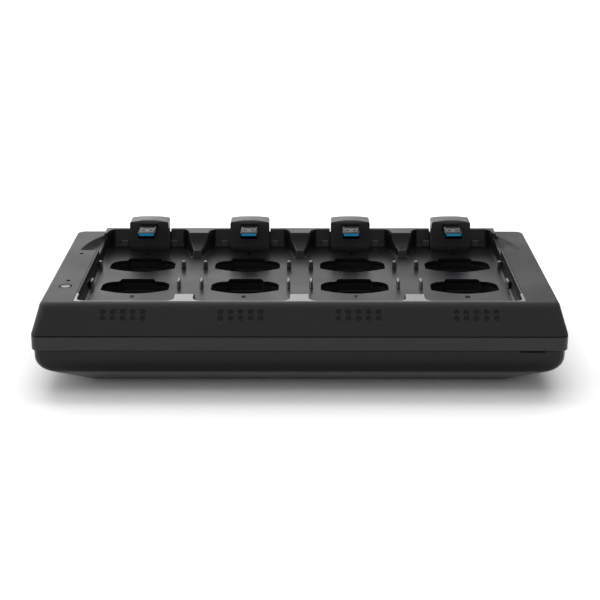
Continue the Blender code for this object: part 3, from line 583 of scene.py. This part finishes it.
def deck_height(px, py):
    """Top surface: plate, walls with a foot fillet and a small round at the top edge."""
    d = sunk_distance(px, py)
    high = high_level(px, py)
    foot, edge = 2.2 * MM, 0.7 * MM
    t = np.clip((d - WALL_DRAFT) / foot, 0, 1)
    sweep = PLATE_TOP + foot - foot * np.sqrt(np.clip(1 - (1 - t) ** 2, 0, 1))
    wall = high + (PLATE_TOP + foot - high) * np.clip(d / WALL_DRAFT, 0, 1)
    round_off = edge - np.sqrt(np.clip(edge ** 2 - np.clip(d + edge, 0, edge) ** 2, 0, None))
    top = high - round_off * 0.6
    low = np.where(d > WALL_DRAFT, sweep, wall)
    return np.where(d <= 0, top, np.minimum(low, top))


def spaced(stops, step):
    """Grid lines that meet every stop, no further apart than step."""
    lines = []
    stops = sorted(set(round(s, 7) for s in stops))
    for a, b in zip(stops, stops[1:]):
        count = max(1, math.ceil((b - a) / step - 1e-6))
        lines += [a + (b - a) * i / count for i in range(count)]
    return np.array(lines + [stops[-1]])


def grid_lines():
    draft = WALL_DRAFT
    xs = [-WING_HALF, WING_HALF, -DECK_HALF, DECK_HALF, -PLATE_HALF, PLATE_HALF,
          -PLATE_HALF + draft, PLATE_HALF - draft]
    for x in BAY_X:
        xs += [x - NOTCH_HALF, x - NOTCH_HALF + draft, x + NOTCH_HALF - draft, x + NOTCH_HALF]
    for x in HEAD_X:
        xs += [x - SLOT_HALF, x + SLOT_HALF]
    xs += [-RIM_HALF - 0.1 * MM, -RIM_HALF, RIM_HALF, RIM_HALF + 0.1 * MM]
    ys = [DECK_FRONT, NOTCH_FRONT, NOTCH_FRONT + draft, LEDGE_REAR, LEDGE_REAR + draft,
          WING_FRONT, SLOT_FRONT, RIM_FRONT - 1.1 * MM, RIM_FRONT - 1.0 * MM,
          ALCOVE_REAR - draft, ALCOVE_REAR, DECK_REAR, RIM_REAR]
    return spaced(xs, 0.6 * MM), spaced(ys, 0.6 * MM)


def pull_to_edge(px, py, rows):
    """Move border points onto the outline of the deck."""
    x, y = px[rows], py[rows]
    small = 0.02 * MM
    for _ in range(3):
        d = deck_mask(x, y)
        gx = (deck_mask(x + small, y) - deck_mask(x - small, y)) / (2 * small)
        gy = (deck_mask(x, y + small) - deck_mask(x, y - small)) / (2 * small)
        norm = np.maximum(gx * gx + gy * gy, 0.2)
        x = x - d * gx / norm
        y = y - d * gy / norm
    px[rows], py[rows] = x, y


def build_deck():
    gx, gy = grid_lines()
    px, py = [a.ravel() for a in np.meshgrid(gx, gy, indexing="ij")]
    nx, ny = len(gx), len(gy)
    index = np.arange(nx * ny).reshape(nx, ny)
    quads = np.stack([index[:-1, :-1], index[1:, :-1], index[1:, 1:], index[:-1, 1:]],
                     -1).reshape(-1, 4)
    centre_x, centre_y = px[quads].mean(1), py[quads].mean(1)
    quads = quads[deck_mask(centre_x, centre_y) > 0]
    edges = np.sort(np.concatenate([quads[:, [i, (i + 1) % 4]] for i in range(4)]), axis=1)
    unique, counts = np.unique(edges, axis=0, return_counts=True)
    border = np.unique(unique[counts == 1])
    pull_to_edge(px, py, border)
    used, compact = np.unique(quads, return_inverse=True)
    quads = compact.reshape(-1, 4)
    px, py = px[used], py[used]
    top = deck_height(px, py)
    under = np.maximum(top - 2.2 * MM, 43 * MM)
    under = np.where(np.abs(px) > DECK_HALF + 0.02 * MM, WING_UNDER, under)
    under = np.where(py > DECK_REAR + 0.02 * MM, COVER_TOP + 0.12 * MM, under)
    count = len(used)
    verts = np.concatenate([np.stack([px, py, top], 1), np.stack([px, py, under], 1)])
    directed = np.concatenate([quads[:, [i, (i + 1) % 4]] for i in range(4)])
    keys = np.sort(directed, axis=1)
    _, inverse, counts = np.unique(keys, axis=0, return_inverse=True, return_counts=True)
    rim = directed[counts[inverse.ravel()] == 1]
    skirt = np.stack([rim[:, 1], rim[:, 0], rim[:, 0] + count, rim[:, 1] + count], 1)
    faces = np.concatenate([quads, quads[:, ::-1] + count, skirt])
    mesh = bpy.data.meshes.new("deck_moulding")
    mesh.from_pydata(verts.tolist(), [], faces.tolist())
    mesh.update()
    mesh.materials.append(MATERIALS["deck"])
    mesh.materials.append(MATERIALS["ledge"])
    polished = np.zeros(len(faces), np.int32)
    polished[:len(quads)] = ((top[quads].min(1) > COVER_TOP - 0.3 * MM)
                             & (py[quads].mean(1) < LEDGE_REAR + 1 * MM))
    mesh.polygons.foreach_set("material_index", polished)
    deck = bpy.data.objects.new("deck_moulding", mesh)
    bpy.context.scene.collection.objects.link(deck)
    shade(deck, 60)
    place(deck, replaces=["bay_deck"])


def build_posts():
    """Guide posts and back bumpers, moulded onto the deck."""
    posts = bmesh.new()
    bumpers = bmesh.new()
    for x in BAY_X:
        for side in (-1, 1):
            for y, depth, width in ((-17 * MM, 9.5 * MM, 2.8 * MM), (30 * MM, 3.6 * MM, 3.6 * MM)):
                px, w = x + side * POST_X, width / 2
                nose = 0.35 if depth > width * 2 else 0.12
                outline = [(px, y), (px + w, y + depth * nose), (px + w, y + depth),
                           (px - w, y + depth), (px - w, y + depth * nose)]
                top = [(px + (qx - px) * 0.78, qy, PLATE_TOP + 5.2 * MM) for qx, qy in outline]
                low = [(qx, qy, PLATE_TOP - 0.3 * MM) for qx, qy in outline]
                add_stack(posts, [low, top])
            spot = x + side * BUMPER_X
            add_prism(bumpers, rectangle(spot - 2.5 * MM, spot + 2.5 * MM, ALCOVE_REAR - 2.4 * MM,
                                         ALCOVE_REAR + 0.2 * MM), PLATE_TOP + 0.1 * MM,
                      PLATE_TOP + 4.9 * MM)
    guide = make("guide_posts", posts, "post")
    soften(guide, 0.9 * MM, 4)
    place(guide)
    stop = make("bumper_blocks", bumpers, "pad")
    soften(stop, 0.4 * MM)
    place(stop)


def build_liners():
    for row, y in enumerate(POCKET_Y):
        for bay, x in enumerate(BAY_X):
            number = bay + 1 + (4 if row == 0 else 0)
            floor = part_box(f"contact_block_{number}")[0].z + 1.4 * MM
            rings = []
            for grow, z in ((1.0 * MM, floor - 1.2 * MM), (1.2 * MM, 42.7 * MM),
                            (0.02 * MM, 42.7 * MM), (-0.1 * MM, 37.2 * MM), (-0.9 * MM, 36.6 * MM),
                            (-1.1 * MM, floor + 3 * MM), (-1.5 * MM, floor + 1.2 * MM),
                            (-2.6 * MM, floor)):
                rings.append([(px, py, z) for px, py in pocket_outline(x, y, grow)])
            bm = bmesh.new()
            add_stack(bm, rings)
            liner = make(f"liner_{number}", bm, "liner")
            hole = bmesh.new()
            add_prism(hole, rectangle(x - 9.3 * MM, x + 9.3 * MM, y - 4.3 * MM, y + 4.3 * MM),
                      floor - 4 * MM, floor + 2 * MM)
            combine(liner, hole)
            shade(liner, 40)
            place(liner, replaces=[f"pocket_liner_{number}"])
            pins = bmesh.new()
            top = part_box(f"contact_block_{number}")[1].z
            for i in range(4):
                px = x + (i - 1.5) * PIN_PITCH
                add_stack(pins, [[(qx, qy, z) for qx, qy in circle(px, y, r, 20)] for r, z in
                                 ((0.95 * MM, top - 0.9 * MM), (0.95 * MM, top - 0.25 * MM),
                                  (0.5 * MM, top + 0.03 * MM))])
            pin = make(f"contact_pins_{number}", pins, "gold")
            shade(pin, 50)
            place(pin, f"contacts_{number}")


# ---------------------------------------------------------------- heads and plugs

def head_side():
    """(y, z) outline of a head: round foot on its pin, straight front, soft top."""
    pivot_y, pivot_z = middle("head_pin_1").y, middle("head_pin_1").z
    front, rear, top = HEAD_FRONT, HEAD_REAR, HEAD_TOP
    foot = arc(pivot_y, pivot_z, 3.6 * MM, 0, -180, 16)
    crown = fillet((front, top - 9 * MM), (front, top), (HEAD_BACK, top), 1.8 * MM, 6)
    back = fillet((front, top), (HEAD_BACK, top), (HEAD_BACK, top - 9 * MM), 2.0 * MM, 6)
    back += [(HEAD_BACK, RIM_TOP + 2.4 * MM), (rear, RIM_TOP + 1.0 * MM)]
    return foot + [(front + 1.2 * MM, PLATE_TOP + 1 * MM), (front, PLATE_TOP + 3 * MM)] \
        + crown + back + [(rear, PLATE_TOP + 8 * MM)]


def head_front(cx):
    crown = [(cx + HEAD_HALF * t, HEAD_TOP - 1.6 * MM * t * t)
             for t in np.linspace(0.72, -0.72, 13)]
    right = arc(cx + HEAD_HALF - 1.8 * MM, HEAD_TOP - 2.95 * MM, 1.8 * MM, 0, 78, 8)
    left = [(2 * cx - x, z) for x, z in right[::-1]]
    low = 30 * MM
    return [(cx - HEAD_HALF, low), (cx + HEAD_HALF, low)] + right + crown + left


def build_head(index, cx):
    bm = bmesh.new()
    add_side_prism(bm, head_side(), cx - HEAD_HALF, cx + HEAD_HALF)
    head = make(f"head_{index}_tower", bm, "head")
    outline = bmesh.new()
    add_front_prism(outline, head_front(cx), HEAD_FRONT - 9 * MM, HEAD_REAR + 9 * MM)
    combine(head, outline, "INTERSECT")
    tool = bmesh.new()
    w, h = 6.3 * MM, 2.55 * MM
    plug_z = (PLUG_LOW.z + PLUG_HIGH.z) / 2
    add_front_prism(tool, rectangle(cx - w, cx + w, plug_z - h, plug_z + h),
                    HEAD_FRONT - 5 * MM, HEAD_FRONT + 6 * MM)
    combine(head, tool)
    pin = middle("head_pin_1")
    tool = bmesh.new()
    add_rod(tool, (cx - 20 * MM, pin.y, pin.z), (cx + 20 * MM, pin.y, pin.z), 1.4 * MM, 20)
    combine(head, tool)
    soften(head, 0.45 * MM, 3, 35)
    place(head, f"head_{index}", replaces=[f"dock_head_{index}"])
    build_plug(index, cx, plug_z)


def build_plug(index, cx, plug_z):
    skin = 0.3 * MM
    tip, rear = PLUG_LOW.y, PLUG_HIGH.y
    half_w, half_h = 6.0 * MM, 2.25 * MM
    outer = rounded(cx - half_w, cx + half_w, plug_z - half_h, plug_z + half_h, 0.6 * MM, 5)
    inner = rounded(cx - half_w + skin, cx + half_w - skin, plug_z - half_h + skin,
                    plug_z + half_h - skin, 0.35 * MM, 5)
    mouth = rounded(cx - half_w + 0.15 * MM, cx + half_w - 0.15 * MM, plug_z - half_h + 0.15 * MM,
                    plug_z + half_h - 0.15 * MM, 0.5 * MM, 5)
    rings = [[(x, y, z) for x, z in ring] for ring, y in
             ((outer, rear), (outer, tip + 0.3 * MM), (mouth, tip), (inner, tip + 0.2 * MM),
              (inner, rear - 1 * MM))]
    bm = bmesh.new()
    add_stack(bm, rings)
    shell = make(f"plug_{index}_shell", bm, "plug")
    tool = bmesh.new()
    for side in (-1, 1):
        hole = cx + side * 2.7 * MM
        add_prism(tool, rectangle(hole - 1.1 * MM, hole + 1.1 * MM, tip + 6 * MM, tip + 8.4 * MM),
                  plug_z, plug_z + 4 * MM)
    combine(shell, tool)
    shade(shell, 40)
    place(shell, f"head_{index}", replaces=[f"usb_shell_{index}"])

    bm = bmesh.new()
    low, high = plug_z - 0.1 * MM, plug_z + half_h - skin - 0.1 * MM
    add_front_prism(bm, rounded(cx - 5.45 * MM, cx + 5.45 * MM, low, high, 0.3 * MM, 4),
                    tip + 0.35 * MM, rear - 1.3 * MM)
    tongue = make(f"plug_{index}_tongue", bm, "tongue")
    # painted shade: the tongue's upward faces take the black jack plastic, for the shade inside
    # the plug shell; the rest stays blue
    tongue.data.materials.append(MATERIALS["jack"])
    for face in tongue.data.polygons:
        face.material_index = 1 if face.normal.z > 0.9 else 0
    soften(tongue, 0.15 * MM, 2)
    place(tongue, f"head_{index}", replaces=[f"usb_tongue_{index}"])
    bm = bmesh.new()
    for i in range(4):
        x = cx + (i - 1.5) * 2.3 * MM
        add_prism(bm, rectangle(x - 0.5 * MM, x + 0.5 * MM, tip + 1.4 * MM, tip + 9 * MM),
                  low - 0.12 * MM, low + 0.3 * MM)
    pads = make(f"plug_{index}_pads", bm, "gold")
    place(pads, f"head_{index}")


# ---------------------------------------------------------------- button, marks and small parts

def build_button():
    r = BUTTON_R
    top = COVER_TOP
    rings = [(r + 1.2 * MM, top - 6 * MM), (r + 1.2 * MM, top - 4.6 * MM), (r, top - 4.6 * MM),
             (r, top - 0.45 * MM)]
    rings += [(r - 0.45 * MM + 0.45 * MM * math.cos(a), top - 0.45 * MM + 0.45 * MM * math.sin(a))
              for a in np.linspace(0.3, math.pi / 2, 5)]
    rings += [(r * 0.7, top - 0.12 * MM), (r * 0.35, top - 0.2 * MM)]
    bm = bmesh.new()
    add_stack(bm, [[(x, y, z) for x, y in circle(BUTTON.x, BUTTON.y, q, 48)] for q, z in rings])
    button = make("button_cap", bm, "button")
    shade(button, 50)
    place(button, "link_button", replaces=["link_button"])


def build_marks():
    """Plain pocket numbers on the deck."""
    for row, y in enumerate(NUMBER_Y):
        for bay, x in enumerate(BAY_X):
            number = bay + 1 + (4 if row == 0 else 0)
            curve = bpy.data.curves.new(f"pocket_number_{number}", "FONT")
            curve.body = str(number)
            curve.size = NUMBER_SIZE
            curve.align_x = "CENTER"
            curve.align_y = "CENTER"
            curve.extrude = 0.03 * MM
            curve.offset = 0.12 * MM
            curve.materials.append(MATERIALS["ink"])
            mark = bpy.data.objects.new(f"pocket_number_{number}", curve)
            mark.location = (x, y, PLATE_TOP + 0.02 * MM)
            bpy.context.scene.collection.objects.link(mark)
            place(mark)


def dress_cad_nodes():
    """Give every carried-over node the procedural material of its slot."""
    finish = {item["node"]: item["material_slot"] for item in frame["record"]["subparts"]}
    for name, obj in NODES.items():
        material = MATERIALS["light_bar" if name.startswith("light_bar") else finish[name]]
        if not obj.data.materials:
            obj.data.materials.append(material)
        for slot in obj.material_slots:
            slot.material = material


# ---------------------------------------------------------------- camera, light and floor

CAMERA_AT = (2.1 * MM, -948 * MM, 349.2 * MM)
CAMERA_PITCH = 18.5                 # degrees below the level
CAMERA_YAW = 0.12
CAMERA_LENS = 86.04
BRIGHT_SIDE = (-1.6, 1.0, -0.6)     # where the studio's walls are brightest


def build_camera():
    data = bpy.data.cameras.new("camera")
    data.sensor_width = 36.0
    data.lens = CAMERA_LENS
    camera = bpy.data.objects.new("camera", data)
    camera.location = CAMERA_AT
    camera.rotation_euler = (math.radians(90 - CAMERA_PITCH), 0, math.radians(CAMERA_YAW))
    bpy.context.scene.collection.objects.link(camera)
    bpy.context.scene.camera = camera
    bpy.context.scene.view_settings.view_transform = "Standard"


def build_floor():
    bm = bmesh.new()
    add_prism(bm, rectangle(-6, 6, -4, 8), -0.02, -0.0001)
    floor = make("floor", bm, None)
    material = bpy.data.materials.new("floor_white")
    material.use_nodes = True
    tree = material.node_tree
    shader = tree.nodes["Principled BSDF"]
    shader.inputs["Specular IOR Level"].default_value = 0.0
    coords = node(tree, "ShaderNodeTexCoord")
    tone = spread(tree, noise(tree, coords, 3, 2), 0.89, 0.91)
    mix = node(tree, "ShaderNodeCombineColor")
    for channel in ("Red", "Green", "Blue"):
        tree.links.new(tone, mix.inputs[channel])
    tree.links.new(mix.outputs["Color"], shader.inputs["Base Color"])
    shader.inputs["Roughness"].default_value = 0.9
    floor.data.materials.append(material)


def add_area(name, place_at, aim, size, power):
    data = bpy.data.lights.new(name, "AREA")
    data.shape = "RECTANGLE"
    data.size, data.size_y = size
    data.energy = power
    lamp = bpy.data.objects.new(name, data)
    lamp.location = place_at
    direction = Vector(aim) - Vector(place_at)
    lamp.visible_glossy = False
    lamp.rotation_euler = direction.to_track_quat("-Z", "Y").to_euler()
    bpy.context.scene.collection.objects.link(lamp)


def build_light():
    """White studio: walls that are brighter on one side, and two large lamps above."""
    world = bpy.data.worlds.new("studio")
    bpy.context.scene.world = world
    world.use_nodes = True
    tree = world.node_tree
    coords = node(tree, "ShaderNodeTexCoord")
    facing = node(tree, "ShaderNodeVectorMath", operation="DOT_PRODUCT")
    facing.inputs[1].default_value = BRIGHT_SIDE
    tree.links.new(coords.outputs["Generated"], facing.inputs[0])
    wall = node(tree, "ShaderNodeMapRange", interpolation_type="SMOOTHSTEP")
    wall.inputs["From Min"].default_value = 0.1
    wall.inputs["From Max"].default_value = 1.05
    wall.inputs["To Min"].default_value = 0.42
    wall.inputs["To Max"].default_value = 1.35
    tree.links.new(facing.outputs["Value"], wall.inputs["Value"])
    tree.links.new(wall.outputs["Result"], tree.nodes["Background"].inputs["Strength"])
    tree.nodes["Background"].inputs["Color"].default_value = (1, 1, 1, 1)
    add_area("rear_softbox", (0, 1.7, 2.1), (0, 0.2, 0), (3.4, 1.8), 75)
    add_area("top_softbox", (0, 0.2, 2.6), (0, 0.2, 0), (3.0, 2.0), 22)


def main():
    build_camera()
    build_cover()
    build_band()
    build_deck()
    build_posts()
    build_liners()
    for index, x in zip(BAYS, HEAD_X):
        build_head(index, x)
    build_button()
    build_marks()
    dress_cad_nodes()
    build_floor()
    build_light()


main()
